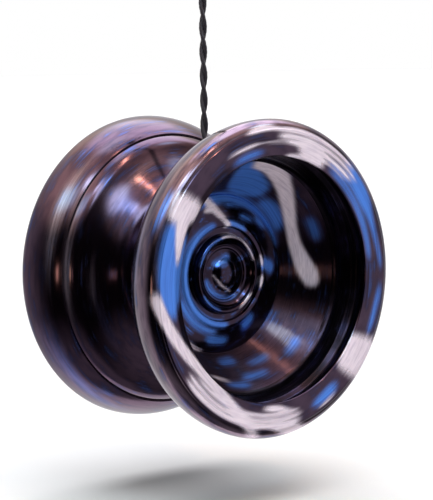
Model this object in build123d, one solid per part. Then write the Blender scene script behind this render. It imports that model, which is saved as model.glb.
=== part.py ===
from build123d import *
import math
import os

# A long-spinning yo-yo: two machined aluminium halves screwed together through a ball bearing.
# The axle runs along Y. The front half is on the -Y side and the string leaves upwards along +Z.
# The origin is the centre of the bearing. Lengths are in millimetres.
# A profile point is (radius from the axle, distance from the middle plane) on the rear, +Y side.

# Overall
BODY_RADIUS = 28.0
HALF_WIDTH = 19.25
HALF_GAP = 2.25

# Bearing: a 1/4 x 1/2 x 3/16 inch deep-groove bearing with eight 1/16 inch balls
BEARING_BORE_RADIUS = 3.175
BEARING_OUTER_RADIUS = 6.35
BEARING_HALF_WIDTH = 2.38
BALL_COUNT = 8
BALL_RADIUS = 0.794
BALL_PITCH_RADIUS = 4.7625
RACEWAY_RADIUS = BALL_RADIUS + 0.026
INNER_LAND_RADIUS = 4.2
OUTER_LAND_RADIUS = 5.3
STRING_GROOVE_DEPTH = 0.35
SHIELD_SEAT_RADIUS = 5.8
SHIELD_SEAT_Y = 1.86
SHIELD_THICKNESS = 0.18
SHIELD_CLEARANCE = 0.12
CLIP_WIDTH = 0.45
CLIP_THICKNESS = 0.25
CLIP_OPENING_DEG = 24
POCKET_CLEARANCE = 0.06
CAGE_INNER_RADIUS = 4.4
CAGE_OUTER_RADIUS = 5.1
CAGE_HALF_WIDTH = 1.15

# Axle: an M4 set screw, 10 mm long, with a 2 mm hexagon socket
AXLE_RADIUS = 2.0
AXLE_HALF_LENGTH = 5.0
AXLE_CHAMFER = 0.4
SOCKET_ACROSS_FLATS = 2.0
SOCKET_DEPTH = 2.0

# The seat that each half holds the bearing on
AXLE_HOLE_RADIUS = AXLE_RADIUS + 0.03
AXLE_HOLE_END = AXLE_HALF_LENGTH + 0.15
POST_RADIUS = BEARING_BORE_RADIUS - 0.015
POST_TIP_Y = 0.15
POST_CHAMFER = 0.2
SHOULDER_RADIUS = 4.0
SHOULDER_Y = BEARING_HALF_WIDTH + 0.02
BEARING_RECESS_RADIUS = 6.85
BEARING_RECESS_Y = 2.95

# Response pad and its groove
PAD_GROOVE_INNER = 7.35
PAD_GROOVE_OUTER = 9.5
PAD_GROOVE_FLOOR = 3.45
PAD_SIDE_CLEARANCE = 0.04
PAD_SINK = 0.08

# String: two twisted strands, drawn as plain tubes
STRING_RADIUS = 0.73
STRAND_RADIUS = 0.36
STRAND_CLEARANCE = 0.03
STRING_ROUTE = [(0, 0, 12.5), (0, 0, 52.5)]
AXLE_LOOP_TIP_Z = 12.4
KNOT_SIZE = (2.2, 1.9, 2.5)
FINGER_LOOP_RADIUS = 11.5
FINGER_LOOP_CENTRE_Z = 70.5


def bowed(start, end, rise):
    """An arc from start to end whose middle stands off the chord by rise, to the left if positive."""
    chord = Vector(*end) - Vector(*start)
    middle = (Vector(*start) + Vector(*end)) / 2
    left = Vector(-chord.Y, chord.X).normalized()
    return ThreePointArc(start, middle + left * rise, end)


def turned(edges):
    """A closed outline of edges in (radius, y), turned about the axle."""
    return revolve(make_face(edges), Axis.Y)


def washer(inner, outer, y_low, y_high):
    """A flat ring about the axle between two radii and two heights."""
    outline = Polyline((inner, y_low), (outer, y_low), (outer, y_high), (inner, y_high), close=True)
    return turned(outline.edges())


def seat_outline():
    """Bearing post, shoulder, recess and response groove, from the axle hole out to the string gap."""
    return Polyline(
        (0, AXLE_HOLE_END),
        (AXLE_HOLE_RADIUS, AXLE_HOLE_END),
        (AXLE_HOLE_RADIUS, POST_TIP_Y),
        (POST_RADIUS - POST_CHAMFER, POST_TIP_Y),
        (POST_RADIUS, POST_TIP_Y + POST_CHAMFER),
        (POST_RADIUS, SHOULDER_Y),
        (SHOULDER_RADIUS, SHOULDER_Y),
        (SHOULDER_RADIUS, BEARING_RECESS_Y),
        (BEARING_RECESS_RADIUS, BEARING_RECESS_Y),
        (BEARING_RECESS_RADIUS, HALF_GAP),
        (PAD_GROOVE_INNER, HALF_GAP),
        (PAD_GROOVE_INNER, PAD_GROOVE_FLOOR),
        (PAD_GROOVE_OUTER, PAD_GROOVE_FLOOR),
        (PAD_GROOVE_OUTER, HALF_GAP),
        (11.2, HALF_GAP),
    ).edges()


def catch_outline():
    """The side that faces the other half: flat, steep wall, hollow, bead, groove and round rim."""
    wall_top = (17.2, 4.61)
    hollow_end = (22.6, 8.18)
    bead_end = (24.45, 9.95)
    groove_bottom = (24.62, 10.3)
    rim_start = (24.79, 10.0)
    rim_top = (BODY_RADIUS, 16.9)
    return [
        bowed((11.2, HALF_GAP), wall_top, -0.59),
        bowed(wall_top, hollow_end, 0.27),
        bowed(hollow_end, bead_end, -0.235),
        Line(bead_end, groove_bottom),
        Line(groove_bottom, rim_start),
        bowed(rim_start, rim_top, -0.82),
    ]


def rim_outline():
    """Rounded outer corner, flat rim face, inner bevel and the undercut wall behind the lip."""
    corner_start = (BODY_RADIUS, 17.1)
    corner_end = (26.38, 19.1)
    lip = (21.5, 18.8)
    undercut_start = (22.75, 17.5)
    undercut_end = (22.7, 15.5)
    wall_foot = (21.2, 12.9)
    return [
        Line((BODY_RADIUS, 16.9), corner_start),
        bowed(corner_start, corner_end, -0.45),
        *Polyline(corner_end, (26.2, HALF_WIDTH), (23.1, HALF_WIDTH), (21.65, 19.05), lip).edges(),
        Line(lip, undercut_start),
        bowed(undercut_start, undercut_end, 0.3),
        *Polyline(undercut_end, (21.95, 15.0), wall_foot).edges(),
        bowed(wall_foot, (20.4, 11.5), 0.2),
    ]


def cup_outline():
    """The cone of the cup, the raised platform, the dark ring groove and the hub with its nub."""
    ring_outer = (7.1, 5.75)
    ring_inner = (6.2, 5.75)
    dish_foot = (5.2, 4.95)
    nub_foot = (2.95, 5.3)
    nub_top = (0.5, 6.2)
    return [
        *Polyline((20.4, 11.5), (14.4, 3.8), (14.15, 4.15), (12.9, 4.5), (9.9, 5.2)).edges(),
        bowed((9.9, 5.2), (8.54, 5.3), -0.14),
        *Polyline((8.54, 5.3), (8.45, 4.6), (7.25, 4.6), ring_outer).edges(),
        bowed(ring_outer, ring_inner, -0.42),
        bowed(ring_inner, dish_foot, 0.12),
        *Polyline(dish_foot, (5.05, 5.2), (4.7, 5.2), (4.5, 4.9), nub_foot).edges(),
        bowed(nub_foot, nub_top, -0.22),
        *Polyline(nub_top, (0, nub_top[1]), (0, AXLE_HOLE_END)).edges(),
    ]


def make_half():
    """One machined half, on the rear side."""
    return turned([*seat_outline(), *catch_outline(), *rim_outline(), *cup_outline()])


def make_pad():
    """The silicone ring that grips the string, glued in the response groove."""
    return washer(
        PAD_GROOVE_INNER + PAD_SIDE_CLEARANCE,
        PAD_GROOVE_OUTER - PAD_SIDE_CLEARANCE,
        HALF_GAP + PAD_SINK,
        PAD_GROOVE_FLOOR,
    )


def make_axle():
    """The set screw that joins the halves, with its hexagon socket at the front end."""
    core = AXLE_RADIUS - AXLE_CHAMFER
    shank_end = AXLE_HALF_LENGTH - AXLE_CHAMFER
    outline = Polyline(
        (0, -AXLE_HALF_LENGTH),
        (core, -AXLE_HALF_LENGTH),
        (AXLE_RADIUS, -shank_end),
        (AXLE_RADIUS, shank_end),
        (core, AXLE_HALF_LENGTH),
        (0, AXLE_HALF_LENGTH),
        close=True,
    )
    front_end = Plane(origin=(0, -AXLE_HALF_LENGTH, 0), x_dir=(1, 0, 0), z_dir=(0, 1, 0))
    hexagon = front_end * RegularPolygon(SOCKET_ACROSS_FLATS / 2, 6, major_radius=False)
    return turned(outline.edges()) - extrude(hexagon, SOCKET_DEPTH)


def raceway():
    """The ring of space that the balls roll in."""
    track = Pos(BALL_PITCH_RADIUS, 0, 0) * Circle(RACEWAY_RADIUS)
    return revolve(track, Axis.Y)


def make_inner_race():
    """Inner ring of the bearing, on the two posts."""
    edge = 0.12
    outline = Polyline(
        (BEARING_BORE_RADIUS, -BEARING_HALF_WIDTH + edge),
        (BEARING_BORE_RADIUS + edge, -BEARING_HALF_WIDTH),
        (INNER_LAND_RADIUS, -BEARING_HALF_WIDTH),
        (INNER_LAND_RADIUS, BEARING_HALF_WIDTH),
        (BEARING_BORE_RADIUS + edge, BEARING_HALF_WIDTH),
        (BEARING_BORE_RADIUS, BEARING_HALF_WIDTH - edge),
        close=True,
    )
    return turned(outline.edges()) - raceway()


def make_outer_race():
    """Outer ring of the bearing, hollowed outside to centre the string and stepped for its shields."""
    rim_low = (BEARING_OUTER_RADIUS, -BEARING_HALF_WIDTH)
    rim_high = (BEARING_OUTER_RADIUS, BEARING_HALF_WIDTH)
    inside = Polyline(
        rim_high,
        (SHIELD_SEAT_RADIUS, BEARING_HALF_WIDTH),
        (SHIELD_SEAT_RADIUS, SHIELD_SEAT_Y),
        (OUTER_LAND_RADIUS, SHIELD_SEAT_Y),
        (OUTER_LAND_RADIUS, -SHIELD_SEAT_Y),
        (SHIELD_SEAT_RADIUS, -SHIELD_SEAT_Y),
        (SHIELD_SEAT_RADIUS, -BEARING_HALF_WIDTH),
        rim_low,
    )
    outside = bowed(rim_low, rim_high, STRING_GROOVE_DEPTH)
    return turned([outside, *inside.edges()]) - raceway()


def ball_centres():
    """Centres of the balls, evenly round the pitch circle."""
    step = 2 * math.pi / BALL_COUNT
    angles = [step * (number + 0.5) for number in range(BALL_COUNT)]
    return [(BALL_PITCH_RADIUS * math.cos(a), 0, BALL_PITCH_RADIUS * math.sin(a)) for a in angles]


def make_cage():
    """The ring that keeps the balls apart, one pocket for each ball."""
    cage = washer(CAGE_INNER_RADIUS, CAGE_OUTER_RADIUS, -CAGE_HALF_WIDTH, CAGE_HALF_WIDTH)
    for centre in ball_centres():
        cage -= Pos(*centre) * Sphere(BALL_RADIUS + POCKET_CLEARANCE)
    return cage


def make_shield():
    """Thin dust shield at the rear of the bearing."""
    return washer(
        INNER_LAND_RADIUS + SHIELD_CLEARANCE,
        SHIELD_SEAT_RADIUS - 0.03,
        SHIELD_SEAT_Y,
        SHIELD_SEAT_Y + SHIELD_THICKNESS,
    )


def make_clip():
    """The open spring ring that holds the rear shield in."""
    outer = SHIELD_SEAT_RADIUS - 0.02
    low = SHIELD_SEAT_Y + SHIELD_THICKNESS
    corners = [(outer - CLIP_WIDTH, low), (outer, low)]
    corners += [(outer, low + CLIP_THICKNESS), (outer - CLIP_WIDTH, low + CLIP_THICKNESS)]
    section = make_face(Polyline(*corners, close=True).edges())
    return revolve(section, Axis.Y, revolution_arc=360 - CLIP_OPENING_DEG)


def eye(loop_radius, centre_z, tip_z, half_spread, tube_radius):
    """A tube round a circle in the XZ plane, closed by two straight legs that meet at tip_z."""
    reach = math.hypot(half_spread, tip_z - centre_z)
    lean = math.atan2(half_spread, tip_z - centre_z)
    turn = lean + math.copysign(math.acos(loop_radius / reach), half_spread)
    touch_x = loop_radius * math.sin(turn)
    touch_z = centre_z + loop_radius * math.cos(turn)
    far_side = centre_z - math.copysign(loop_radius, tip_z - centre_z)
    right_leg = Line((half_spread, 0, tip_z), (touch_x, 0, touch_z))
    bend = ThreePointArc((touch_x, 0, touch_z), (0, 0, far_side), (-touch_x, 0, touch_z))
    left_leg = Line((-touch_x, 0, touch_z), (-half_spread, 0, tip_z))
    path = Wire([right_leg, bend, left_leg])
    start = Plane(origin=path @ 0, z_dir=path % 0)
    return sweep(start * Circle(tube_radius), path=path)


def make_axle_loop():
    """The untwisted end of the string, one strand thick, round the bearing's outer ring."""
    hollow_radius = BEARING_OUTER_RADIUS - STRING_GROOVE_DEPTH
    loop_radius = hollow_radius + STRAND_RADIUS + STRAND_CLEARANCE
    return eye(loop_radius, 0, AXLE_LOOP_TIP_Z, STRAND_RADIUS, STRAND_RADIUS)


def make_string():
    """The twisted string, pulled straight from the axle loop to the knot."""
    low, high = STRING_ROUTE
    return Pos(*low) * Cylinder(
        STRING_RADIUS, high[2] - low[2], align=(Align.CENTER, Align.CENTER, Align.MIN)
    )


def make_knot():
    """The slip knot, a rounded barrel that ends flat on the string below and the finger loop above."""
    half_x, half_y, half_z = KNOT_SIZE
    centre_z = STRING_ROUTE[1][2] + half_z
    bottom = Pos(0, 0, centre_z - half_z) * Circle(STRING_RADIUS)
    middle = Pos(0, 0, centre_z) * Ellipse(half_x, half_y)
    top = Pos(0, 0, centre_z + half_z) * Ellipse(half_x - 0.3, half_y - 0.3)
    return loft([bottom, middle, top])


def make_finger_loop():
    """The slip loop that goes round the finger."""
    knot_top = STRING_ROUTE[1][2] + 2 * KNOT_SIZE[2]
    return eye(FINGER_LOOP_RADIUS, FINGER_LOOP_CENTRE_Z, knot_top, STRING_RADIUS + 0.1, STRING_RADIUS)


def faced_front(shape):
    """The same piece turned to the front, -Y, side."""
    return shape.rotate(Axis.Z, 180)


def all_parts():
    """Every piece by its node name."""
    parts = {
        "axle_screw": make_axle(),
        "bearing_inner_race": make_inner_race(),
        "bearing_outer_race": make_outer_race(),
        "bearing_cage": make_cage(),
        "axle_loop": make_axle_loop(),
        "string": make_string(),
        "slip_knot": make_knot(),
        "finger_loop": make_finger_loop(),
    }
    for number, centre in enumerate(ball_centres(), start=1):
        parts[f"bearing_ball_{number}"] = Pos(*centre) * Sphere(BALL_RADIUS)
    pairs = {
        "half": make_half(),
        "response_pad": make_pad(),
        "bearing_shield": make_shield(),
        "shield_clip": make_clip(),
    }
    for name, shape in pairs.items():
        parts[f"rear_{name}"] = shape
        parts[f"front_{name}"] = faced_front(shape)
    return parts


os.makedirs("parts", exist_ok=True)
for node, shape in all_parts().items():
    export_step(shape, f"parts/{node}.step")
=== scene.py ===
import bpy
import math
import random
import numpy as np
from mathutils import Matrix, Vector


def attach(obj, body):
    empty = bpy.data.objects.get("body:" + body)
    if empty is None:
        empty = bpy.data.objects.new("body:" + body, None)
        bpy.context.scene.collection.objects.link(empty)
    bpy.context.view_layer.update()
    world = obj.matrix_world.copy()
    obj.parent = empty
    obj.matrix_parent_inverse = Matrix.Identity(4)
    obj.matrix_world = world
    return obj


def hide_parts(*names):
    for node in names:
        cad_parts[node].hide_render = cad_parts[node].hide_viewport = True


# A spinning metal yo-yo on its string. The axle runs along Y, with the front half on the -Y side,
# and the string leaves upwards. Lengths are in millimetres until a mesh or light is made.
# A profile point is (radius from the axle, distance from the middle plane).

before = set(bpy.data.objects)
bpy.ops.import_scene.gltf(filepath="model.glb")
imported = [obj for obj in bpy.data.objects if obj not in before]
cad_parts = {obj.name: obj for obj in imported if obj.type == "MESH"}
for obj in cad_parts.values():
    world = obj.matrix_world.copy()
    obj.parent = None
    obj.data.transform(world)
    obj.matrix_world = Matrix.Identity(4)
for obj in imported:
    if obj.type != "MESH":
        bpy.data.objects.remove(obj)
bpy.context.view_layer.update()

MM = 0.001

# Camera
CAMERA_AZIMUTH = -40.4
CAMERA_ELEVATION = 5.58
CAMERA_ROLL = -0.7
CAMERA_DISTANCE = 362.03
CAMERA_RIGHT = 1.89
CAMERA_UP = 3.96
CAMERA_LENS = 144
SENSOR_WIDTH = 36

# String
STRING_ROUTE = [(0, 0, 12.5), (0, 0, 21.5), (0, 0, 43.5), (0, 0, 52.5)]
STRAND_RADIUS = 0.365
STRAND_OFFSET = 0.335
TWIST_LAY = 8.75
CROSSING_Z = 24.4
PLY_COUNT = 5
PLY_LAY = 4.6
RING_STEP = 0.14
LOOP_RADIUS = 11.5
LOOP_CENTRE_Z = 70.5
LOOP_TIP_Z = 57.5
LEG_SPREAD = 0.83
SUNK_RINGS = 16
FRAYED_FIBRES = 26
FIBRE_RADIUS = 0.035

# Bearing and axle
BEARING_RADIUS = 6.35
BEARING_HOLLOW = 0.35
AXLE_RADIUS = 2.0
AXLE_HALF_LENGTH = 5.0
AXLE_CHAMFER = 0.4
AXLE_COLUMNS = 96
AXLE_ROWS = 200
THREAD_PITCH = 0.7
THREAD_DEPTH = 0.38
THREAD_CREST = 1.3
THREAD_SLOPE = 3.2
SOCKET_ACROSS_FLATS = 2.0
SOCKET_DEPTH = 2.0
SOCKET_LIP_RADIUS = 1.5

# Turned meshes
COLUMNS = 216
PAD_COLUMNS = 192
EDGE_RADIUS = 0.09
SHARP_CORNER = math.radians(14)
SUPPORT = 0.02
LONGEST_STEP = 0.5
ON_AXLE = 1e-6

# Splash pattern: soft edges in millimetres, smears in degrees
RIM_RADIUS = 28.0
SHOULDER_Y = 17.05
SILVER_EDGE = 0.42
BLUE_EDGE = 0.8
OUTSIDE_EDGE = 1.2
CUP_SMEAR = 2.4
OUTSIDE_SMEAR = 14.0
# Share of splash kept on the cup's undercut wall, faded so the wall stays dark as painted shade.
WALL_SHADE_SPLASH_SHARE = 0.12

# Floor
FLOOR_Z = -39.5
FLOOR_HALF_SIZE = 6000


def srgb(red, green, blue):
    """A linear colour from 0-255 display values."""
    def linear(value):
        value /= 255
        return value / 12.92 if value <= 0.04045 else ((value + 0.055) / 1.055) ** 2.4
    return (linear(red), linear(green), linear(blue), 1.0)


GUNMETAL = srgb(74, 59, 74)
GRAPHITE = srgb(52, 42, 56)
SILVER = srgb(222, 208, 218)
LILAC = srgb(190, 174, 190)
PALE_GUNMETAL = srgb(79, 63, 77)
# Painted reflection: lighter lilac base for the front half's outside, standing for the white backdrop it
# mirrors.
BACKDROP_REFLECTION_LILAC = srgb(110, 94, 106)
BLUE = srgb(70, 124, 214)
DEEP_BLUE = srgb(54, 94, 178)
# Painted shade: near-black base for the cup's undercut wall, which lies in shadow.
WALL_PAINTED_SHADE = srgb(26, 22, 28)
MARK_SHADE = (0.02, 0.016, 0.02, 1.0)
DULL_STEEL = (0.1, 0.1, 0.11, 1.0)


# ---------------------------------------------------------------- camera

def add_camera():
    """The camera at the photograph's viewing angle."""
    azimuth = math.radians(CAMERA_AZIMUTH)
    elevation = math.radians(CAMERA_ELEVATION)
    roll = math.radians(CAMERA_ROLL)
    back = Vector((
        math.sin(azimuth) * math.cos(elevation),
        -math.cos(azimuth) * math.cos(elevation),
        math.sin(elevation),
    ))
    level = Vector((math.cos(azimuth), math.sin(azimuth), 0))
    upright = back.cross(level)
    right = math.cos(roll) * level + math.sin(roll) * upright
    up = math.cos(roll) * upright - math.sin(roll) * level
    place = CAMERA_DISTANCE * back + CAMERA_RIGHT * right + CAMERA_UP * up
    turn = Matrix((right, up, back)).transposed()
    data = bpy.data.cameras.new("camera")
    data.lens = CAMERA_LENS
    data.sensor_width = SENSOR_WIDTH
    data.clip_start = 0.01
    camera = bpy.data.objects.new("camera", data)
    camera.matrix_world = Matrix.Translation(place * MM) @ turn.to_4x4()
    bpy.context.scene.collection.objects.link(camera)
    bpy.context.scene.camera = camera


# ---------------------------------------------------------------- shader helpers

def feed(tree, socket, value):
    """Connects a value to a socket, or sets it there."""
    if isinstance(value, bpy.types.NodeSocket):
        tree.links.new(value, socket)
    elif value is not None:
        socket.default_value = value


def node(tree, kind, *inputs, **settings):
    """A new node with its settings made and its inputs fed in order."""
    new = tree.nodes.new("ShaderNode" + kind)
    for name, value in settings.items():
        setattr(new, name, value)
    for socket, value in zip(new.inputs, inputs):
        feed(tree, socket, value)
    return new


def calc(tree, operation, *inputs):
    """One step of arithmetic."""
    return node(tree, "Math", *inputs, operation=operation).outputs[0]


def combine(tree, x, y, z):
    return node(tree, "CombineXYZ", x, y, z).outputs[0]


def smooth(tree, value, low, high, to_low=0.0, to_high=1.0):
    """A smooth step of value from low to high."""
    step = node(tree, "MapRange", value, low, high, to_low, to_high, interpolation_type="SMOOTHSTEP")
    return step.outputs[0]


def mix(tree, share, first, second, blend="MIX"):
    """Two colours mixed."""
    new = node(tree, "Mix", data_type="RGBA", blend_type=blend)
    feed(tree, new.inputs[0], share)
    feed(tree, new.inputs[6], first)
    feed(tree, new.inputs[7], second)
    return new.outputs[2]


def noise(tree, vector, scale, detail=2.0, roughness=0.5, distortion=0.0):
    """Seamless noise around 0.5."""
    new = node(tree, "TexNoise", vector)
    new.inputs["Scale"].default_value = scale
    new.inputs["Detail"].default_value = detail
    new.inputs["Roughness"].default_value = roughness
    new.inputs["Distortion"].default_value = distortion
    return new.outputs[0]


def new_material(name, **settings):
    """A material with a Principled shader and its constant sockets set."""
    material = bpy.data.materials.new(name)
    material.use_nodes = True
    tree = material.node_tree
    shader = tree.nodes["Principled BSDF"]
    for socket, value in settings.items():
        shader.inputs[socket.replace("_", " ")].default_value = value
    return material, tree, shader


def bump(tree, shader, height, distance, strength=1.0):
    """Fine relief, distance deep in millimetres."""
    new = node(tree, "Bump")
    new.inputs["Strength"].default_value = strength
    new.inputs["Distance"].default_value = distance * MM
    feed(tree, new.inputs["Height"], height)
    feed(tree, shader.inputs["Normal"], new.outputs[0])


def polar(tree):
    """Angle round the axle, radius and distance along it, and the place itself, in millimetres."""
    place = node(tree, "TexCoord").outputs["Object"]
    scaled = node(tree, "VectorMath", place, (1 / MM,) * 3, operation="MULTIPLY").outputs[0]
    x, y, z = node(tree, "SeparateXYZ", scaled).outputs
    squares = calc(tree, "ADD", calc(tree, "MULTIPLY", x, x), calc(tree, "MULTIPLY", z, z))
    radius = calc(tree, "SQRT", squares)
    angle = calc(tree, "ARCTAN2", z, x)
    return angle, radius, y, scaled


def turning_coordinates(tree, angle, radius, along, round_scale, across_scale):
    """Noise coordinates without a seam: round_scale for a turn, across_scale for a millimetre."""
    return combine(
        tree,
        calc(tree, "MULTIPLY", calc(tree, "COSINE", angle), round_scale),
        calc(tree, "MULTIPLY", calc(tree, "SINE", angle), round_scale),
        calc(tree, "MULTIPLY", calc(tree, "MULTIPLY_ADD", along, 2.0, radius), across_scale),
    )


# ---------------------------------------------------------------- meshes

def mesh_object(name, vertices, faces, materials, face_materials=None, smooth_faces=True):
    """A mesh piece from millimetre points."""
    mesh = bpy.data.meshes.new(name)
    mesh.from_pydata([Vector(v) * MM for v in vertices], [], faces)
    for material in materials:
        mesh.materials.append(material)
    if face_materials:
        mesh.polygons.foreach_set("material_index", face_materials)
    mesh.polygons.foreach_set("use_smooth", [smooth_faces] * len(faces))
    mesh.update()
    piece = bpy.data.objects.new(name, mesh)
    bpy.context.scene.collection.objects.link(piece)
    return piece


def skin(rows, row_materials=None, closed=False):
    """Faces over rows of points. A row of one point is a pole. Rows run round the same way."""
    vertices, faces, slots, starts = [], [], [], []
    for row in rows:
        starts.append(len(vertices))
        vertices.extend(row)
    pairs = list(zip(range(len(rows)), range(1, len(rows))))
    if closed:
        pairs.append((len(rows) - 1, 0))
    for index, (low, high) in enumerate(pairs):
        width = max(len(rows[low]), len(rows[high]))
        for column in range(width):
            after = (column + 1) % width
            if len(rows[low]) == 1:
                face = (starts[low], starts[high] + after, starts[high] + column)
            elif len(rows[high]) == 1:
                face = (starts[low] + column, starts[low] + after, starts[high])
            else:
                face = (
                    starts[low] + column,
                    starts[low] + after,
                    starts[high] + after,
                    starts[high] + column,
                )
            faces.append(face)
            slots.append(row_materials[index] if row_materials else 0)
    return vertices, faces, slots


def bowed(start, end, rise, steps=10):
    """Points of an arc, after start and up to end, that rises off the chord, to the left if positive."""
    first, last = Vector(start), Vector(end)
    chord = last - first
    along = chord.normalized()
    left = Vector((-along.y, along.x)) * math.copysign(1, rise)
    half_angle = 2 * math.atan(2 * abs(rise) / chord.length)
    radius = chord.length / 2 / math.sin(half_angle)
    centre = (first + last) / 2 - left * radius * math.cos(half_angle)
    points = []
    for step in range(1, steps + 1):
        turn = half_angle * (2 * step / steps - 1)
        points.append(tuple(centre + radius * (left * math.cos(turn) + along * math.sin(turn))))
    return points


def rounded(outline, closed=False):
    """An outline of (zone, point) with each sharp corner rounded off and held by support points."""
    count = len(outline)
    result = []
    for index, (zone, point) in enumerate(outline):
        before = outline[index - 1] if index or closed else None
        after = outline[(index + 1) % count] if index < count - 1 or closed else None
        if before is None or after is None:
            result.append((zone, point))
            continue
        here = Vector(point)
        arrive = here - Vector(before[1])
        leave = Vector(after[1]) - here
        if arrive.angle(leave) < SHARP_CORNER:
            result.append((zone, point))
            continue
        cut = min(EDGE_RADIUS, 0.36 * arrive.length, 0.36 * leave.length)
        first = here - arrive.normalized() * cut
        last = here + leave.normalized() * cut
        step = min(SUPPORT, 0.3 * cut)
        result.append((zone, tuple(first - arrive.normalized() * step)))
        for share in (0, 1 / 3, 2 / 3, 1):
            curved = first * (1 - share) ** 2 + here * 2 * share * (1 - share) + last * share ** 2
            result.append((zone if share < 0.5 else after[0], tuple(curved)))
        result.append((after[0], tuple(last + leave.normalized() * step)))
    return result


def divided(outline):
    """The same outline with its long straight stretches cut into short ones."""
    result = outline[:1]
    for (_, start), (zone, end) in zip(outline, outline[1:]):
        pieces = math.ceil((Vector(end) - Vector(start)).length / LONGEST_STEP)
        for piece in range(1, pieces + 1):
            result.append((zone, tuple(Vector(start).lerp(Vector(end), piece / pieces))))
    return result


def turned(name, outline, materials, side=1, columns=COLUMNS, closed=False):
    """A piece turned about the axle from an outline of (zone number, (radius, y))."""
    rows, zones = [], []
    turn = [2 * math.pi * column / columns for column in range(columns)]
    for zone, (radius, y) in outline:
        zones.append(zone)
        if radius < ON_AXLE:
            rows.append([(0, y * side, 0)])
        else:
            rows.append([(radius * math.cos(a), y * side, radius * math.sin(a)) for a in turn])
    row_zones = zones[1:] + zones[:1]
    vertices, faces, slots = skin(rows, row_zones, closed)
    if side > 0:
        faces = [tuple(reversed(face)) for face in faces]
    return mesh_object(name, vertices, faces, materials, slots)


# ---------------------------------------------------------------- anodised halves

# The splash pattern is drawn on a map of each half. A place is (degrees round the axle, reach). Reach
# is the radius in millimetres inside the cup, and past the rim it grows on down the outside. A stroke
# is a list of (degrees, reach, half width).
# Some silver strokes are painted light, not splash: painted highlights and a painted reflection, each
# marked below.
SILVER_AND_PAINTED_LIGHT_STROKES = [
    [(-178, 26.9, 0.9), (-172, 26.0, 1.0), (-165, 25.0, 1.0), (-156, 23.7, 1.0), (-146, 22.6, 0.9)],
    [
        (-146, 22.6, 0.8), (-134, 22.3, 0.9), (-123, 22.7, 0.9),
        (-115, 23.9, 1.0), (-108, 25.2, 1.0), (-101, 27.4, 0.8),
    ],
    [(-142, 25.6, 0.45), (-120, 25.5, 0.5), (-80, 25.5, 0.5)],
    [(-143, 24.6, 0.4), (-120, 24.5, 0.35), (-79, 24.5, 0.4)],
    [(-139, 23.7, 0.25), (-118, 23.7, 0.3), (-80, 23.7, 0.3)],
    [(-92, 25.6, 0.9), (-84, 26.6, 1.2), (-78, 27.8, 1.0)],
    [(-97, 22.5, 0.5), (-90, 22.6, 0.6), (-84, 23.6, 0.5)],
    [(-67, 25.6, 0.2), (-58, 25.3, 0.25)],
    [(-43, 28.6, 1.1), (-44, 25.6, 1.3), (-46, 22.6, 1.1)],
    [(-37, 28.6, 1.2), (-38, 25.6, 1.4), (-40, 22.6, 1.3)],
    [(-32, 28.6, 1.1), (-32, 25.6, 1.4), (-34, 22.6, 1.3)],
    [(46, 26.0, 0.35), (60, 26.1, 0.4), (74, 26.2, 0.5), (87, 26.1, 0.55)],
    [(41, 25.0, 0.25), (58, 25.1, 0.35), (72, 25.1, 0.5), (87, 25.0, 0.5)],
    [(44, 24.1, 0.35), (58, 24.1, 0.4), (72, 24.1, 0.5), (83, 24.1, 0.4)],
    [(46, 23.3, 0.15), (60, 23.3, 0.25), (76, 23.3, 0.35)],
    [(64, 24.0, 1.1), (63, 22.5, 1.1)],
    [(69, 24.0, 1.1), (68, 22.5, 1.1)],
    [(74, 24.0, 1.1), (73, 22.5, 1.1)],
    [(86, 23.9, 0.2), (96, 24.0, 0.14)],
    [(99, 24.2, 0.22), (106, 24.1, 0.28), (116, 24.3, 0.18)],
    [(90, 26.4, 0.4), (96, 26.6, 0.55), (103, 26.4, 0.4)],
    [(145, 26.4, 1.1), (144, 25.0, 1.1), (143, 22.6, 1.1)],
    [(151, 26.2, 1.2), (148, 25.0, 1.2), (147, 22.6, 1.1)],
    [(147, 24.4, 1.6), (155, 23.7, 1.2), (163, 23.1, 0.7), (168, 22.8, 0.3)],
    # The cone's curved silver ribbon: silver splash that also stands in for the curved highlight on the
    # cone, so partly a painted highlight.
    [
        (80, 20.7, 1.6), (72, 20.2, 1.3), (62, 19.4, 1.15),
        (54, 18.6, 1.0), (45, 17.8, 0.9), (36, 17.1, 0.8),
    ],
    [
        (36, 17.1, 0.8), (26, 16.6, 0.68), (15, 16.5, 0.78),
        (5, 17.0, 1.0), (-3, 17.7, 1.2), (-8, 18.1, 1.0),
    ],
    # Painted reflection: two faint pale streaks that stand for a cool light's band reflected on the cone.
    [(-50, 19.4, 0.15), (-48, 17.6, 0.25), (-46, 15.2, 0.2)],
    [(-43, 19.8, 0.1), (-42, 17.8, 0.2), (-41, 15.2, 0.15)],
    [(-112, 18.4, 0.12), (-104, 18.6, 0.3), (-98, 18.8, 0.12)],
    [(104, 13.9, 0.8), (101, 12.6, 0.75), (97, 11.3, 0.62), (91, 10.0, 0.52), (85, 8.9, 0.55)],
    [(104, 12.0, 0.4), (108, 12.1, 0.35)],
    [(-140, 13.9, 0.2), (-125, 14.2, 0.35), (-110, 14.3, 0.25)],
    # Painted highlights: bright bits on the platform's rounded inner edge and on the hub ring.
    [(-18, 8.9, 0.3), (-9, 8.9, 0.4)],
    [(8, 8.9, 0.35), (16, 8.9, 0.3)],
    [(-66, 7.0, 0.3), (-50, 6.9, 0.55), (-36, 6.9, 0.3)],
    [(20, 6.4, 0.1), (45, 6.6, 0.14), (70, 7.0, 0.2), (100, 6.8, 0.25)],
    [(-180, 2.8, 0.12), (-150, 2.3, 0.14), (-120, 2.3, 0.18), (-90, 2.6, 0.15), (-68, 3.4, 0.12)],
]
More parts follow.
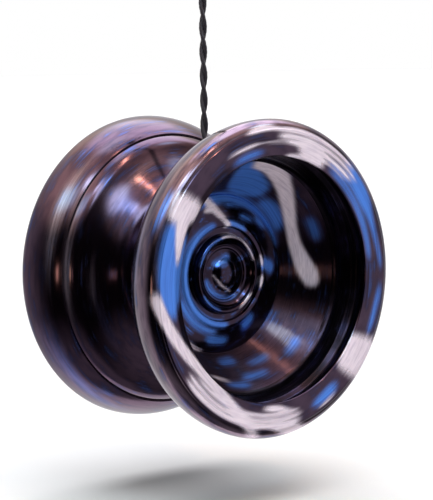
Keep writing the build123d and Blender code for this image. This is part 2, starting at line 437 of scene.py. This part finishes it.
BLUE_STROKES = [
    [(156, 25.4, 1.6), (168, 25.0, 2.0), (180, 24.4, 2.0), (188, 23.9, 1.1)],
    [(144, 28.5, 0.5), (151, 28.5, 0.8), (158, 28.5, 0.6)],
    [(158, 22.5, 0.9), (172, 22.6, 1.0), (184, 22.6, 0.8)],
    [(-124, 23.4, 0.4), (-115, 23.5, 0.45)],
    [
        (2, 25.2, 0.3), (14, 24.6, 0.35), (24, 24.6, 0.7),
        (31, 24.8, 1.4), (39, 25.0, 1.5), (48, 25.9, 0.8),
    ],
    [(44, 23.8, 0.7), (56, 23.6, 0.6)],
    [(-26, 24.8, 0.5), (-16, 24.8, 0.5), (-8, 25.2, 0.4)],
    [(-68, 24.5, 0.7), (-58, 24.3, 1.0)],
    [(6, 22.5, 0.25), (30, 22.5, 0.4), (54, 22.6, 0.3)],
    [(99, 22.5, 0.4), (107, 22.5, 0.6), (114, 22.5, 0.4)],
    [(88, 19.4, 1.3), (82, 17.6, 2.5), (75, 16.6, 2.3), (64, 16.4, 1.5)],
    [(52, 15.4, 0.9), (40, 15.6, 1.0), (30, 15.2, 0.7)],
    [(28, 18.9, 0.5), (17, 19.1, 0.5)],
    [(-96, 15.9, 0.4), (-86, 15.7, 0.45)],
    [(-101, 19.4, 0.3), (-89, 19.5, 0.4)],
    [(-86, 18.4, 0.25), (-72, 18.8, 0.3)],
    [(-76, 16.9, 0.2), (-64, 17.2, 0.25)],
    [(-54, 18.8, 0.2), (-44, 18.6, 0.3)],
    [
        (18, 14.0, 0.4), (36, 13.9, 0.8), (55, 13.8, 0.9),
        (74, 13.7, 1.0), (96, 13.7, 0.9), (124, 14.0, 0.6),
    ],
    [(40, 12.6, 0.7), (48, 12.4, 0.7)],
    [(55, 11.4, 0.5), (66, 11.0, 0.6)],
    [(69, 13.0, 0.5), (84, 12.5, 0.5)],
    [(-63, 10.6, 1.0), (-55, 10.4, 1.0)],
    [(-105, 12.0, 0.9), (-90, 12.0, 0.8)],
    [(2, 11.2, 1.2), (7, 9.6, 1.1)],
    [(108, 9.1, 0.5), (150, 9.3, 0.8), (180, 9.4, 0.9), (220, 9.3, 0.9), (268, 9.1, 0.6)],
    [(205, 10.7, 0.6), (236, 10.8, 0.5), (256, 10.4, 0.5)],
    [(60, 9.2, 0.4), (84, 9.3, 0.5)],
    [(100, 6.5, 0.3), (140, 6.4, 0.4), (160, 6.6, 0.3)],
    [(-145, 6.5, 0.3), (-110, 6.4, 0.3)],
    [(-165, 4.4, 0.3), (-110, 4.2, 0.35), (-60, 4.6, 0.2)],
    [(80, 3.0, 0.5), (110, 2.4, 0.6), (140, 3.0, 0.4)],
]


def outside_strokes(seed):
    """Silver and blue strokes for the outside of a half, at random."""
    draw = random.Random(seed)
    sets = ([], [])
    for strokes, count, width in ((sets[0], 15, 0.9), (sets[1], 8, 1.2)):
        for _ in range(count):
            degrees, reach = draw.uniform(-180, 180), draw.uniform(29, 50)
            slant, rise = draw.uniform(8, 26), draw.uniform(-5, 5)
            stroke = []
            for step in range(draw.randint(2, 4)):
                jitter = draw.uniform(-0.8, 0.8)
                half_width = width * draw.uniform(0.5, 1.6)
                stroke.append((degrees + slant * step, reach + rise * step + jitter, half_width))
            strokes.append(stroke)
    return sets


def on_map(degrees, reach):
    """A place on the splash map as a flat point."""
    return np.array((reach * math.cos(math.radians(degrees)), reach * math.sin(math.radians(degrees))))


def eased(stroke, steps=5):
    """More points along a smooth line through a stroke's points."""
    line = []
    padded = np.array([stroke[0], *stroke, stroke[-1]], float)
    for before, start, end, after in zip(padded, padded[1:], padded[2:], padded[3:]):
        for step in range(steps):
            t = step / steps
            line.append(0.5 * (
                2 * start + (end - before) * t + (2 * before - 5 * start + 4 * end - after) * t ** 2
                + (3 * start - before - 3 * end + after) * t ** 3
            ))
    return [*line, padded[-1]]


def cover(places, reach, strokes, turn, softness):
    """How much strokes with soft edges, turned by some degrees, cover each place of the map, 0 to 1."""
    total = np.zeros(places.shape[:2])
    for stroke in strokes:
        line = eased(stroke)
        for first, last in zip(line, line[1:]):
            start, end = on_map(first[0] + turn, first[1]), on_map(last[0] + turn, last[1])
            margin = max(first[2], last[2]) + softness
            near = (reach > min(first[1], last[1]) - margin) & (reach < max(first[1], last[1]) + margin)
            if not near.any():
                continue
            offset = places[near] - start
            chord = end - start
            share = np.clip(offset @ chord / max(chord @ chord, 1e-9), 0, 1)
            gap = np.linalg.norm(offset - share[..., None] * chord, axis=2)
            width = first[2] + (last[2] - first[2]) * share
            total[near] = np.maximum(total[near], np.clip((width - gap) / softness / 2 + 0.5, 0, 1))
    return total


def smeared(mask, degrees):
    """A mask blurred round the axle, as by a splash on a spinning part."""
    columns = mask.shape[1]
    away = np.minimum(np.arange(columns), columns - np.arange(columns)) * 360 / columns
    weights = np.exp(-0.5 * (away / degrees) ** 2)
    spectrum = np.fft.rfft(mask, axis=1) * np.fft.rfft(weights / weights.sum())
    return np.clip(np.fft.irfft(spectrum, columns, axis=1), 0, 1)


def outline_reach(outline):
    """The reach on the splash map of each point of a half's outline, and whether it is in the cup."""
    shoulder = next(index for index, (_, point) in enumerate(outline) if point[1] > SHOULDER_Y)
    travelled = RIM_RADIUS
    outer = [travelled]
    for index in range(shoulder, 0, -1):
        travelled += math.dist(outline[index][1], outline[index - 1][1])
        outer.insert(0, travelled)
    inner = [point[0] for _, point in outline[shoulder + 1:]]
    return np.array(outer + inner), np.arange(len(outline)) > shoulder


def paint(piece, outline, turn, seed, outside_strength):
    """Writes the splash pattern, with its painted highlights, painted reflection and the wall's painted
    shade, on a half as shares of silver and blue, read by the material.
    """
    reach, inside = outline_reach(outline)
    wall = np.array([zone == WALL for zone, _ in outline])
    angle = np.radians(np.arange(COLUMNS) * 360 / COLUMNS)
    places = reach[:, None, None] * np.stack((np.cos(angle), np.sin(angle)), axis=-1)[None]
    colours = zip((SILVER_AND_PAINTED_LIGHT_STROKES, BLUE_STROKES), outside_strokes(seed), (SILVER_EDGE, BLUE_EDGE))
    shares = []
    for strokes, more, softness in colours:
        cup = smeared(cover(places, reach, strokes, turn, softness), CUP_SMEAR)
        outer = smeared(cover(places, reach, more, 0, OUTSIDE_EDGE), OUTSIDE_SMEAR)
        share = np.where(inside[:, None], cup, outer * outside_strength)
        # Splash on the undercut wall is faded: painted shade.
        share[wall] *= WALL_SHADE_SPLASH_SHARE
        shares.append(share)
    values = []
    for row, (_, point) in enumerate(outline):
        for column in range(COLUMNS if point[0] > ON_AXLE else 1):
            values += (shares[0][row, column], shares[1][row, column], 0.0, 1.0)
    attribute = piece.data.color_attributes.new("splash", "FLOAT_COLOR", "POINT")
    attribute.data.foreach_set("color", values)


def frayed(tree, share, wander, amount):
    """A splash's share with its edges broken into streaks."""
    edge = calc(tree, "MULTIPLY", share, calc(tree, "SUBTRACT", 1.0, share))
    streaks = calc(tree, "MULTIPLY", calc(tree, "MULTIPLY", edge, amount), wander)
    return calc(tree, "ADD", share, streaks)


def splash_masks(tree, smear, specks):
    """How silver and how blue a place is, with broken edges. specks are loose spots of blue."""
    splash = node(tree, "VertexColor", layer_name="splash").outputs["Color"]
    silver_share, blue_share, _ = node(tree, "SeparateColor", splash).outputs
    wander = calc(tree, "SUBTRACT", smear, 0.5)
    silver = smooth(tree, frayed(tree, silver_share, wander, 2.2), 0.1, 0.9)
    blue = smooth(tree, frayed(tree, blue_share, wander, 1.8), 0.04, 0.96)
    return silver, calc(tree, "MAXIMUM", blue, specks)


def anodised(name, roughness, blotches, anisotropy=0.0, base=GUNMETAL):
    """Splash-anodised aluminium: glossy gunmetal, satin blue and silver, with fine turning marks."""
    material, tree, shader = new_material(name, Anisotropic=anisotropy)
    angle, radius, along, _ = polar(tree)

    def turned_noise(round_scale, across_scale, detail, rough):
        coordinates = turning_coordinates(tree, angle, radius, along, round_scale, across_scale)
        return noise(tree, coordinates, 1.0, detail, rough)

    smear = turned_noise(1.5, 3.2, 4.0, 0.6)
    cloud = turned_noise(4.5, 0.45, 3.0, 0.55)
    marks = turned_noise(1.2, 16.0, 2.0, 0.5)
    weave = turned_noise(9.0, 3.6, 2.0, 0.5)
    spots = calc(tree, "MULTIPLY", smooth(tree, cloud, 0.5, 0.7), smooth(tree, smear, 0.4, 0.66))
    silver_mask, blue_mask = splash_masks(tree, smear, calc(tree, "MULTIPLY", spots, blotches))
    tone = mix(tree, smooth(tree, cloud, 0.35, 0.7), base, GRAPHITE)
    blue = mix(tree, smooth(tree, smear, 0.2, 0.6), DEEP_BLUE, BLUE)
    grain = calc(tree, "MULTIPLY_ADD", weave, 0.5, calc(tree, "MULTIPLY", smear, 0.5))
    silver = mix(tree, smooth(tree, grain, 0.36, 0.7), SILVER, LILAC)
    colour = mix(tree, silver_mask, mix(tree, blue_mask, tone, blue), silver)
    colour = mix(tree, calc(tree, "MULTIPLY", marks, 0.12), colour, MARK_SHADE)
    feed(tree, shader.inputs["Base Color"], colour)
    satin = calc(tree, "MAXIMUM", silver_mask, calc(tree, "MULTIPLY", blue_mask, 0.6))
    feed(tree, shader.inputs["Metallic"], calc(tree, "MULTIPLY_ADD", satin, -0.65, 1.0))
    rough = node(tree, "MapRange", marks, 0.3, 0.7, roughness * 0.85, roughness * 1.2).outputs[0]
    feed(tree, shader.inputs["Roughness"], calc(tree, "MULTIPLY_ADD", satin, 0.2, rough))
    bump(tree, shader, marks, 0.0012)
    if anisotropy:
        shader.inputs["Anisotropic Rotation"].default_value = 0.25
        tangent = node(tree, "Tangent", direction_type="RADIAL", axis="Y").outputs[0]
        feed(tree, shader.inputs["Tangent"], tangent)
    return material


OUTSIDE, RIM, WALL, CONE, HUB = range(5)


def half_outline():
    """One half's profile as (zone number, point): from the axle hole, round the rim and into the cup."""
    outline = [(OUTSIDE, point) for point in (
        (0, 5.15), (2.03, 5.15), (2.03, 0.15), (2.96, 0.15), (3.16, 0.35), (3.16, 2.4), (4.0, 2.4),
        (4.0, 2.95), (6.85, 2.95), (6.85, 2.25), (7.35, 2.25), (7.35, 3.45), (9.5, 3.45), (9.5, 2.25),
        (11.2, 2.25),
        *bowed((11.2, 2.25), (17.2, 4.61), -0.59, 14),
        *bowed((17.2, 4.61), (22.6, 8.18), 0.27, 14),
        *bowed((22.6, 8.18), (24.45, 9.95), -0.235, 8),
        (24.62, 10.3), (24.79, 10.0),
        *bowed((24.79, 10.0), (28, 16.9), -0.82, 16),
        (28, 17.1),
        *bowed((28, 17.1), (26.38, 19.1), -0.45, 10),
    )]
    outline += [(RIM, point) for point in ((26.2, 19.25), (23.1, 19.25), (21.65, 19.05), (21.5, 18.8))]
    outline += [(WALL, point) for point in (
        (22.75, 17.5), *bowed((22.75, 17.5), (22.7, 15.5), 0.3, 6), (21.95, 15.0), (21.2, 12.9),
        *bowed((21.2, 12.9), (20.4, 11.5), 0.2, 6),
    )]
    outline += [(CONE, (14.4, 3.8))]
    outline += [(HUB, point) for point in (
        (14.15, 4.15), (12.9, 4.5), (9.9, 5.2), *bowed((9.9, 5.2), (8.54, 5.3), -0.14, 5),
        (8.45, 4.6), (7.25, 4.6), (7.1, 5.75), *bowed((7.1, 5.75), (6.2, 5.75), -0.42, 8),
        *bowed((6.2, 5.75), (5.2, 4.95), 0.12, 6), (5.05, 5.2), (4.7, 5.2), (4.5, 4.9), (2.95, 5.3),
        *bowed((2.95, 5.3), (0.5, 6.2), -0.22, 10), (0, 6.2),
    )]
    return divided(rounded(outline))


def half_materials():
    """One material for each zone of a half, in the order of the zone numbers."""
    return [
        anodised("rear_outside_anodised", 0.13, 0.25, base=PALE_GUNMETAL),
        anodised("rim_anodised", 0.11, 0.2),
        # The undercut wall: near-black base, painted shade in the recess.
        anodised("wall_painted_shade_anodised", 0.25, 0.1, base=WALL_PAINTED_SHADE),
        anodised("cone_anodised", 0.3, 0.3, 1.0),
        anodised("hub_anodised", 0.13, 0.5, base=GRAPHITE),
    ]


def add_half(side_name, side, body, materials, turn, seed, outside_strength):
    """One machined half, replacing its CAD solid."""
    outline = half_outline()
    piece = turned(f"{side_name}_half_turned", outline, materials, side)
    paint(piece, outline, turn, seed, outside_strength)
    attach(piece, body)
    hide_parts(f"{side_name}_half")


# ---------------------------------------------------------------- bearing, pads and axle

def metal(name, colour, roughness, marks_scale, marks_depth):
    """Bare or blackened steel with ground marks."""
    material, tree, shader = new_material(name, Metallic=1.0)
    angle, radius, along, place = polar(tree)
    coordinates = turning_coordinates(tree, angle, radius, along, 2.0, marks_scale)
    marks = noise(tree, coordinates, 1.0, 3.0, 0.6)
    dull = calc(tree, "MULTIPLY", noise(tree, place, 0.8, 3.0, 0.6), 0.3)
    feed(tree, shader.inputs["Base Color"], mix(tree, dull, colour, DULL_STEEL))
    rough = node(tree, "MapRange", marks, 0.3, 0.7, roughness * 0.7, roughness * 1.4).outputs[0]
    feed(tree, shader.inputs["Roughness"], rough)
    bump(tree, shader, marks, marks_depth)
    return material


def silicone():
    """Milky silicone with fine dust and pores."""
    material, tree, shader = new_material("silicone_pad", Subsurface_Weight=0.15, Roughness=0.6)
    place = polar(tree)[3]
    dust = noise(tree, place, 3.0, 5.0, 0.6)
    feed(tree, shader.inputs["Base Color"], mix(tree, dust, srgb(214, 212, 206), srgb(176, 174, 170)))
    bump(tree, shader, noise(tree, place, 14.0, 3.0, 0.6), 0.02)
    return material


def add_pad(side_name, side, body, material):
    """A response pad with soft edges, in its groove."""
    inner, outer, low, high = 7.39, 9.46, 2.33, 3.45
    corners = [(inner, high), (inner, low), (outer, low), (outer, high)]
    outline = rounded([(0, corner) for corner in corners], closed=True)
    piece = turned(f"{side_name}_pad_soft", outline, [material], side, PAD_COLUMNS, closed=True)
    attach(piece, body)
    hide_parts(f"{side_name}_response_pad")


def thread_radius(angle, y):
    """Radius of the threaded shank at a place on it."""
    phase = (y / THREAD_PITCH - angle / (2 * math.pi)) % 1
    tooth = min(1.0, max(0.0, THREAD_CREST - abs(phase - 0.5) * THREAD_SLOPE))
    envelope = AXLE_RADIUS - max(0.0, abs(y) - (AXLE_HALF_LENGTH - AXLE_CHAMFER))
    return min(AXLE_RADIUS - THREAD_DEPTH * (1 - tooth), envelope)


def hexagon_radius(angle):
    """Radius of the hexagon socket's wall."""
    sector = math.pi / 3
    return SOCKET_ACROSS_FLATS / 2 / math.cos((angle % sector) - sector / 2)


def add_axle(material):
    """The set screw with its real thread and its hexagon socket at the front end."""
    turn = [2 * math.pi * column / AXLE_COLUMNS for column in range(AXLE_COLUMNS)]

    def ring(y, radius_at):
        return [(radius_at(a) * math.cos(a), y, radius_at(a) * math.sin(a)) for a in turn]

    front_y = -AXLE_HALF_LENGTH
    floor_y = front_y + SOCKET_DEPTH
    rows = [
        [(0, floor_y + 0.25, 0)],
        ring(floor_y, hexagon_radius),
        ring(floor_y - 0.02, hexagon_radius),
        ring(front_y + 0.04, hexagon_radius),
        ring(front_y, lambda a: hexagon_radius(a) + 0.05),
        ring(front_y, lambda a: SOCKET_LIP_RADIUS),
    ]
    for row in range(AXLE_ROWS + 1):
        y = AXLE_HALF_LENGTH * (2 * row / AXLE_ROWS - 1)
        rows.append(ring(y, lambda a: thread_radius(a, y)))
    rows.append([(0, AXLE_HALF_LENGTH, 0)])
    vertices, faces, _ = skin(rows)
    outward = [tuple(reversed(face)) for face in faces]
    piece = mesh_object("axle_screw_threaded", vertices, outward, [material])
    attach(piece, "spinning_half")
    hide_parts("axle_screw")


def paint_bearing():
    """Materials for the bearing's CAD pieces, which stay."""
    finishes = {
        "bearing_inner_race": metal("ground_race_steel", srgb(214, 214, 218), 0.16, 6.0, 0.001),
        "bearing_outer_race": None,
        "bearing_cage": metal("pressed_cage_steel", srgb(190, 182, 166), 0.35, 1.5, 0.004),
        "front_bearing_shield": metal("rolled_shield_steel", srgb(186, 188, 192), 0.28, 4.0, 0.003),
        "front_shield_clip": metal("spring_wire_steel", srgb(204, 204, 208), 0.2, 3.0, 0.002),
    }
    finishes["bearing_outer_race"] = finishes["bearing_inner_race"]
    finishes["rear_bearing_shield"] = finishes["front_bearing_shield"]
    finishes["rear_shield_clip"] = finishes["front_shield_clip"]
    balls = metal("mirror_ball_steel", srgb(228, 228, 232), 0.06, 2.0, 0.0004)
    for number in range(1, 9):
        finishes[f"bearing_ball_{number}"] = balls
    for name, material in finishes.items():
        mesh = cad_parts[name].data
        mesh.materials.clear()
        mesh.materials.append(material)


# ---------------------------------------------------------------- string

def string_fibre():
    """Black twisted polyester with fine fibres that run along each ply."""
    settings = {"Roughness": 0.55, "Sheen_Weight": 0.08, "Sheen_Roughness": 0.4}
    material, tree, shader = new_material("black_polyester_fibre", **settings)
    lay = node(tree, "Attribute", attribute_name="lay").outputs["Vector"]
    drawn_out = node(tree, "VectorMath", lay, (7, 7, 1.1), operation="MULTIPLY").outputs[0]
    fibres = noise(tree, drawn_out, 1.0, 3.0, 0.65)
    worn = calc(tree, "MULTIPLY", noise(tree, lay, 0.9, 4.0, 0.6), 0.3)
    dark = mix(tree, smooth(tree, fibres, 0.3, 0.7), srgb(9, 5, 10), srgb(36, 27, 38))
    feed(tree, shader.inputs["Base Color"], mix(tree, worn, dark, srgb(32, 29, 42)))
    bump(tree, shader, fibres, 0.04)
    return material


def nurbs(name, points, resolution):
    """Points along a smooth open curve with the given control points, in millimetres."""
    data = bpy.data.curves.new(name, "CURVE")
    data.dimensions = "3D"
    data.resolution_u = resolution
    spline = data.splines.new("NURBS")
    spline.points.add(len(points) - 1)
    for target, point in zip(spline.points, points):
        target.co = (*(Vector(point) * MM), 1)
    spline.order_u = 3
    spline.use_endpoint_u = True
    carrier = bpy.data.objects.new(name, data)
    bpy.context.scene.collection.objects.link(carrier)
    mesh = bpy.data.meshes.new_from_object(carrier)
    path = [vertex.co / MM for vertex in mesh.vertices]
    bpy.data.objects.remove(carrier)
    bpy.data.meshes.remove(mesh)
    return path


def carried_frames(path, first_side=(1, 0, 0)):
    """For each point of a path, its distance along and two directions across it that don't spin."""
    side = Vector(first_side)
    travelled = 0.0
    frames = []
    for index, point in enumerate(path):
        ahead = path[min(index + 1, len(path) - 1)] - path[max(index - 1, 0)]
        along = ahead.normalized()
        side = (side - along * side.dot(along)).normalized()
        if index:
            travelled += (point - path[index - 1]).length
        frames.append((travelled, point, side.copy(), along.cross(side)))
    return frames


def strand(path, offset=lambda travelled: (0.0, 0.0), columns=20):
    """One strand along a path, with its plies twisted round it, offset by a distance and an angle."""
    rows, lay = [], []
    for travelled, point, side, other in carried_frames(path):
        away, turn = offset(travelled)
        centre = point + (side * math.cos(turn) + other * math.sin(turn)) * away
        twist = 2 * math.pi * travelled / PLY_LAY
        row = []
        for column in range(columns):
            around = 2 * math.pi * column / columns
            reach = STRAND_RADIUS * (1.02 + 0.05 * math.cos(PLY_COUNT * (around - twist)))
            row.append(centre + (side * math.cos(around) + other * math.sin(around)) * reach)
            lay.append((math.cos(around - twist), math.sin(around - twist), travelled))
        rows.append(row)
    first, last = (sum(row, Vector()) / columns for row in (rows[0], rows[-1]))
    vertices, faces, _ = skin([[first], *rows, [last]])
    return vertices, faces, [(0, 0, 0), *lay, (0, 0, 0)]


def twisted(path, start_turn=0.0):
    """Two strands twisted round each other along a path."""
    def offset_from(turn):
        return lambda travelled: (STRAND_OFFSET, turn - 2 * math.pi * travelled / TWIST_LAY)

    return [strand(path, offset_from(turn)) for turn in (start_turn, start_turn + math.pi)]


def fibre_object(name, parts, material, *replaced):
    """One piece made of strands."""
    vertices, faces, lay = [], [], []
    for more_vertices, more_faces, more_lay in parts:
        faces += [tuple(index + len(vertices) for index in face) for face in more_faces]
        vertices += more_vertices
        lay += more_lay
    piece = mesh_object(name, vertices, faces, [material])
    attribute = piece.data.attributes.new("lay", "FLOAT_VECTOR", "POINT")
    attribute.data.foreach_set("vector", [value for place in lay for value in place])
    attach(piece, "held_string")
    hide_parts(*replaced)
    return piece


def mirrored(points):
    """Points of the XZ plane on the other side of the Z axis, in the reverse order."""
    return [Vector((-point.x, 0, point.z)) for point in reversed(points)]


def eye_path(radius, centre_z, tip_z, half_spread):
    """A path from the tip along one leg, round a circle in the XZ plane, and back along the other leg."""
    tip_way = math.copysign(1, tip_z - centre_z)
    reach = math.hypot(half_spread, tip_z - centre_z)
    start = math.atan2(half_spread, abs(tip_z - centre_z)) + math.acos(radius / reach)

    def on_circle(angle):
        return Vector((radius * math.sin(angle), 0, centre_z + tip_way * radius * math.cos(angle)))

    tip = Vector((half_spread, 0, tip_z))
    leg_steps = math.ceil((on_circle(start) - tip).length / RING_STEP)
    leg = [tip.lerp(on_circle(start), step / leg_steps) for step in range(leg_steps)]
    sweep = 2 * (math.pi - start)
    bend_steps = math.ceil(sweep * radius / RING_STEP)
    bend = [on_circle(start + sweep * step / bend_steps) for step in range(bend_steps + 1)]
    return leg + bend + mirrored(leg)


def finger_loop_path():
    """Round the finger loop, with both legs carried on down into the knot."""
    depths = [RING_STEP * ring for ring in range(SUNK_RINGS, 0, -1)]
    sunk = [Vector((LEG_SPREAD, 0, LOOP_TIP_Z - depth)) for depth in depths]
    return sunk + eye_path(LOOP_RADIUS, LOOP_CENTRE_Z, LOOP_TIP_Z, LEG_SPREAD) + mirrored(sunk)


def knot_route():
    """The tail of the finger loop: three wraps round its legs and the string, then a short free end."""
    turns, per_turn = 3, 10
    top, bottom, radius = 57.1, 53.3, 1.6
    points = [(0.3, 0, 55.2), (-0.5, 0, 56.0), (-1.3, 0.1, 56.8)]
    for step in range(turns * per_turn + 1):
        angle = math.pi - 2 * math.pi * step / per_turn
        height = top + (bottom - top) * step / (turns * per_turn)
        points.append((radius * math.cos(angle), radius * math.sin(angle), height))
    return points + [(-1.9, 0.9, 52.9), (-2.5, 1.5, 52.0), (-2.7, 1.8, 50.9)]


def frayed_end(path):
    """Loose fibres that fan out of a cut end."""
    draw = random.Random(7)
    tip, along = path[-1], (path[-1] - path[-4]).normalized()
    fibres = []
    for _ in range(FRAYED_FIBRES):
        spread = Vector([draw.uniform(-1, 1) for _ in range(3)])
        start = tip - along * 0.3 + spread * 0.3
        droop = Vector((0, 0, -0.25 * draw.random()))
        reach = draw.uniform(0.6, 1.3)
        line = []
        for t in (0, 0.25, 0.5, 0.75, 1):
            line.append(start + along * reach * t + spread * 0.45 * t * t + droop * t * t)
        rows = []
        for travelled, point, side, other in carried_frames(line):
            size = FIBRE_RADIUS * (1 - 0.6 * travelled / reach)
            ways = [side * math.cos(angle) + other * math.sin(angle) for angle in (0, 2.1, 4.2)]
            rows.append([point + way * size for way in ways])
        vertices, faces, _ = skin([[line[0]], *rows, [line[-1]]])
        fibres.append((vertices, faces, [(0, 0, vertex[2]) for vertex in vertices]))
    return fibres


def add_string(material):
    """The taut two-strand string, with its axle loop, slip knot and finger loop."""
    path = nurbs("string_route", STRING_ROUTE, 96)
    start_z, end_z = STRING_ROUTE[0][2], STRING_ROUTE[-1][2]
    crossing_turn = math.radians(CAMERA_AZIMUTH + 90)
    start_turn = crossing_turn + 2 * math.pi * (CROSSING_Z - start_z) / TWIST_LAY
    end_turn = crossing_turn + 2 * math.pi * (CROSSING_Z - end_z) / TWIST_LAY
    string = fibre_object("string_twisted", twisted(path, start_turn), material, "string")
    loop_radius = BEARING_RADIUS - BEARING_HOLLOW + STRAND_RADIUS + 0.03
    axle_loop = eye_path(loop_radius, 0, start_z + 0.1, STRAND_RADIUS)
    fibre_object("axle_loop_untwisted", [strand(axle_loop)], material, "axle_loop")
    loop = fibre_object("finger_loop_twisted", twisted(finger_loop_path()), material, "finger_loop")
    standing = nurbs("standing_route", [(0, 0, end_z), (0, 0, end_z + 2), (0.5, 0, end_z + 3.6)], 24)
    wraps = nurbs("knot_route", knot_route(), 12)
    knot_parts = twisted(standing, end_turn) + twisted(wraps) + frayed_end(wraps)
    knot = fibre_object("slip_knot_wrapped", knot_parts, material, "slip_knot")


# ---------------------------------------------------------------- stage

def unit(azimuth, elevation):
    """A direction. Azimuth 0 is towards -Y, on the front half's side, and 90 towards +X."""
    a, e = math.radians(azimuth), math.radians(elevation)
    return Vector((math.sin(a) * math.cos(e), -math.cos(a) * math.cos(e), math.sin(e)))


def soft_box(tree, direction, azimuth, elevation, half_width, half_height, softness):
    """How much of a soft rectangular light is seen in a direction, 0 to 1. Sizes are in degrees."""
    centre = unit(azimuth, elevation)
    right = unit(azimuth + 90, 0)
    up = right.cross(centre)

    def along(axis):
        dot = node(tree, "VectorMath", direction, tuple(axis), operation="DOT_PRODUCT")
        return dot.outputs["Value"]

    def share(axis, half_size):
        offset = calc(tree, "ARCTAN2", calc(tree, "ABSOLUTE", along(axis)), along(centre))
        low, high = math.radians(half_size - softness), math.radians(half_size + softness)
        return smooth(tree, offset, low, high, 1.0, 0.0)

    return calc(tree, "MULTIPLY", share(right, half_width), share(up, half_height))


WHITE = (1.0, 1.0, 1.0, 1.0)
LOW_AMBIENT = (3.0, 3.0, 3.0, 1.0)
HIGH_AMBIENT = (0.06, 0.06, 0.06, 1.0)
DARK_ROOM = (0.015, 0.012, 0.015, 1.0)
CEILING = (2.5, 2.0, 1.6, 1.0)
AHEAD_CEILING = (1.7, 1.3, 1.1, 1.0)
BACKDROP = (0.92, 0.9, 0.94, 1.0)
NEAR_FLOOR = (0.4, 0.38, 0.42, 1.0)
FAR_FLOOR = (2.3, 2.2, 2.3, 1.0)
COOL = (3.6, 5.4, 6.0)
WARM = (6.0, 4.0, 2.4)
CARD = (1.0, 1.0, 1.02)
# Soft lights: azimuth, elevation, half width, half height and edge softness in degrees, and colour.
LIGHTS = [
    (30, 0, 20, 30, 6, CARD),
    (-76, 46, 10, 7, 5, COOL),
    (-54, 45, 6, 6, 5, COOL),
    (-9, 38, 8, 7, 4, (6.0, 8.6, 9.8)),
    (57, 47, 5, 5, 4, COOL),
    (115, 66, 26, 24, 9, (5.6, 5.6, 6.2)),
    (40, 84, 9, 9, 6, (5.0, 6.0, 6.2)),
    (-57, -3, 2.5, 4, 2, WARM),
    (-45, -4, 1.5, 3, 1, (2.4, 1.6, 1.3)),
    (12, 56, 1.0, 9, 0.8, (46.0, 27.0, 15.0)),
    (-29, 51, 6, 4, 3, (10.0, 13.5, 15.0)),
    (-19, 45, 4, 4, 3, (6.0, 8.0, 9.0)),
]


def degree_step(tree, value, low, high):
    """A smooth step of an angle in radians, between two angles in degrees."""
    if low < high:
        return smooth(tree, value, math.radians(low), math.radians(high))
    return smooth(tree, value, math.radians(high), math.radians(low), 1.0, 0.0)


def add_world():
    """What the polished metal reflects: a white backdrop behind, a dark room in front, soft lights."""
    world = bpy.data.worlds.new("studio")
    bpy.context.scene.world = world
    world.use_nodes = True
    tree = world.node_tree
    tree.nodes.clear()
    direction = node(tree, "TexCoord").outputs["Generated"]
    x, y, z = node(tree, "SeparateXYZ", direction).outputs
    azimuth = calc(tree, "ARCTAN2", x, calc(tree, "MULTIPLY", y, -1.0))
    elevation = calc(tree, "ARCSINE", z)
    right, left = degree_step(tree, azimuth, 72, 90), degree_step(tree, azimuth, -75, -165)
    behind = calc(tree, "MAXIMUM", right, left)
    colour = mix(tree, behind, DARK_ROOM, BACKDROP)
    after, before = degree_step(tree, azimuth, -40, -14), degree_step(tree, azimuth, 90, 60)
    ahead = calc(tree, "MULTIPLY", after, before)
    ceiling = mix(tree, ahead, CEILING, AHEAD_CEILING)
    colour = mix(tree, degree_step(tree, elevation, 20, 48), colour, ceiling)
    ground = mix(tree, behind, NEAR_FLOOR, FAR_FLOOR)
    colour = mix(tree, degree_step(tree, elevation, -26, -66), colour, ground)
    for azimuth_of, elevation_of, width, height, softness, tint in LIGHTS:
        share = soft_box(tree, direction, azimuth_of, elevation_of, width, height, softness)
        colour = mix(tree, share, colour, (*tint, 1.0))
    rays = node(tree, "LightPath").outputs
    ambient = mix(tree, degree_step(tree, elevation, 4, 14), LOW_AMBIENT, HIGH_AMBIENT)
    colour = mix(tree, rays["Is Diffuse Ray"], colour, ambient)
    colour = mix(tree, rays["Is Camera Ray"], colour, WHITE)
    background = node(tree, "Background", colour, 1.0).outputs[0]
    feed(tree, node(tree, "OutputWorld").inputs["Surface"], background)


def add_floor():
    """The pale floor under the yo-yo, lit from above, which the metal doesn't mirror."""
    signs = ((-1, -1), (1, -1), (1, 1), (-1, 1))
    corners = [(x * FLOOR_HALF_SIZE, y * FLOOR_HALF_SIZE, FLOOR_Z) for x, y in signs]
    material, _, shader = new_material("pale_floor", Base_Color=(0.9, 0.9, 0.9, 1), Roughness=0.9)
    shader.inputs["Specular IOR Level"].default_value = 0.0
    floor = mesh_object("floor", corners, [(0, 1, 2, 3)], [material])
    floor.visible_glossy = False


def add_overhead():
    """The wide overhead light that gives the floor its soft shadow."""
    light = bpy.data.lights.new("overhead", "SUN")
    light.energy = 2.85
    light.angle = math.radians(66)
    lamp = bpy.data.objects.new("overhead", light)
    lamp.visible_glossy = False
    bpy.context.scene.collection.objects.link(lamp)


def main():
    add_camera()
    fibre = string_fibre()
    add_string(fibre)
    zones = half_materials()
    add_half("rear", 1, "spinning_half", zones, 137, 5, 0.45)
    # The front half's outside gets a lighter lilac base than the rear's: a painted reflection of the
    # backdrop.
    front_outside = anodised("front_outside_painted_reflection", 0.13, 0.25, base=BACKDROP_REFLECTION_LILAC)
    add_half("front", -1, "unscrewing_half", [front_outside, *zones[1:]], 0, 2, 0.8)
    pad_material = silicone()
    add_pad("rear", 1, "spinning_half", pad_material)
    add_pad("front", -1, "unscrewing_half", pad_material)
    add_axle(metal("black_oxide_steel", srgb(70, 68, 70), 0.4, 4.0, 0.003))
    paint_bearing()
    add_world()
    add_floor()
    add_overhead()
    bpy.context.scene.view_settings.view_transform = "Standard"


main()
